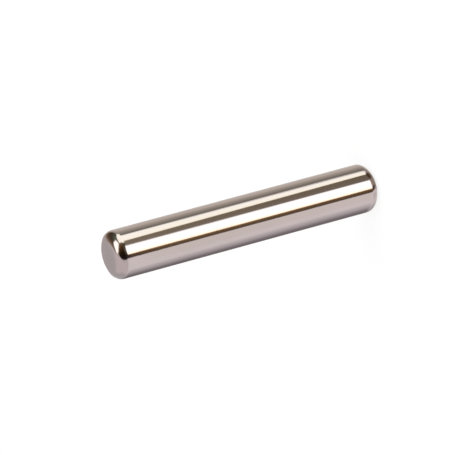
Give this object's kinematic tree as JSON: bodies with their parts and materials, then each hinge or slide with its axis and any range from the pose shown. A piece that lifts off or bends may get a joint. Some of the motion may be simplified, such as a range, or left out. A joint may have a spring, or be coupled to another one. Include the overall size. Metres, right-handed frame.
{
  "type": "needle roller",
  "caption": "Slim solid steel needle roller with a ground cylinder, flat end faces and rounded edges, for a needle bearing.",
  "frame": {"origin": "middle of the lower end face, on which the roller stands", "axes": "+Z along the roller's axis, from the lower end face to the upper one; X and Y are free, because the roller is round"},
  "size_m": [0.004, 0.004, 0.0238],
  "materials": {
    "bearing_steel": "through-hardened bearing steel, centreless ground and lapped bright, with barrel-tumbled ends"
  },
  "bodies": {
    "root": {"needle_roller": "bearing_steel"}
  },
  "joints": []
}
